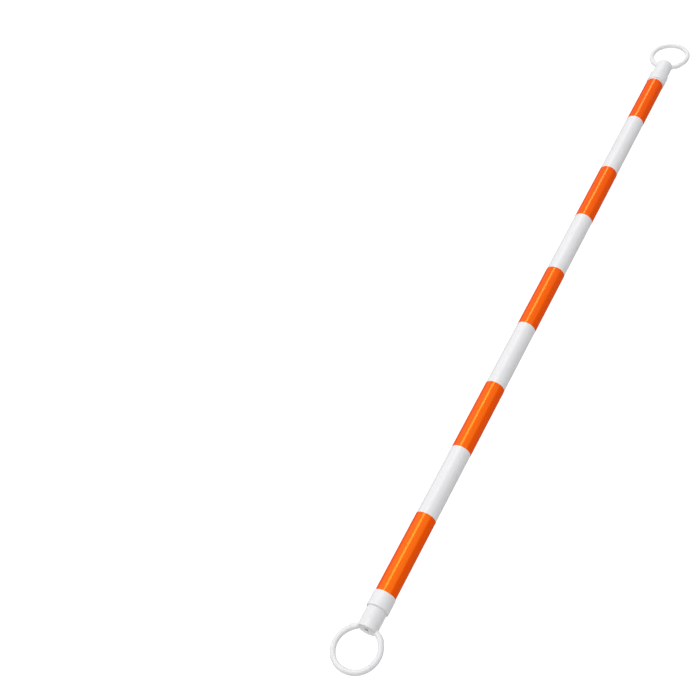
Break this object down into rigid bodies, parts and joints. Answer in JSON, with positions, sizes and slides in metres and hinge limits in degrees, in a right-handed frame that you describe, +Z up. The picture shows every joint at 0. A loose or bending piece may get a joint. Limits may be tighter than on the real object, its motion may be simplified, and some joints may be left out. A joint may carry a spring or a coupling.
{
  "type": "traffic cone bar",
  "caption": "Orange and white banded bar with a swivelling ring at each end that drops over the tips of two traffic cones.",
  "frame": {"origin": "on the tube's axis, half way between the two ends", "axes": "+X along the bar, +Z up through the rings as the bar hangs level between two cones"},
  "size_m": [1.25, 0.0672, 0.0302],
  "materials": {
    "tube_white": "satin extruded",
    "film_orange": "glossy film",
    "moulding_white": "satin moulded",
    "plug_grey": "moulded",
    "slip_plastic": "natural moulded",
    "zinc_steel": "zinc plated"
  },
  "bodies": {
    "bar": {"tube": "tube_white", "orange_sleeve_1": "film_orange", "orange_sleeve_2": "film_orange", "orange_sleeve_3": "film_orange", "orange_sleeve_4": "film_orange", "orange_sleeve_5": "film_orange", "collar_left": "moulding_white", "collar_right": "moulding_white", "end_plug_left": "plug_grey", "end_plug_right": "plug_grey", "thrust_washer_left": "slip_plastic", "thrust_washer_right": "slip_plastic", "pivot_washer_left": "zinc_steel", "pivot_washer_right": "zinc_steel", "pivot_screw_left": "zinc_steel", "pivot_screw_right": "zinc_steel"},
    "left_head": {"ring_head_left": "moulding_white"},
    "right_head": {"ring_head_right": "moulding_white"}
  },
  "joints": [
    {"name": "left_swivel", "type": "hinge", "parent": "bar", "child": "left_head", "pos_m": [-0.543, 0, 0], "axis": [1, 0, 0], "continuous": true},
    {"name": "right_swivel", "type": "hinge", "parent": "bar", "child": "right_head", "pos_m": [0.543, 0, 0], "axis": [1, 0, 0], "continuous": true}
  ]
}
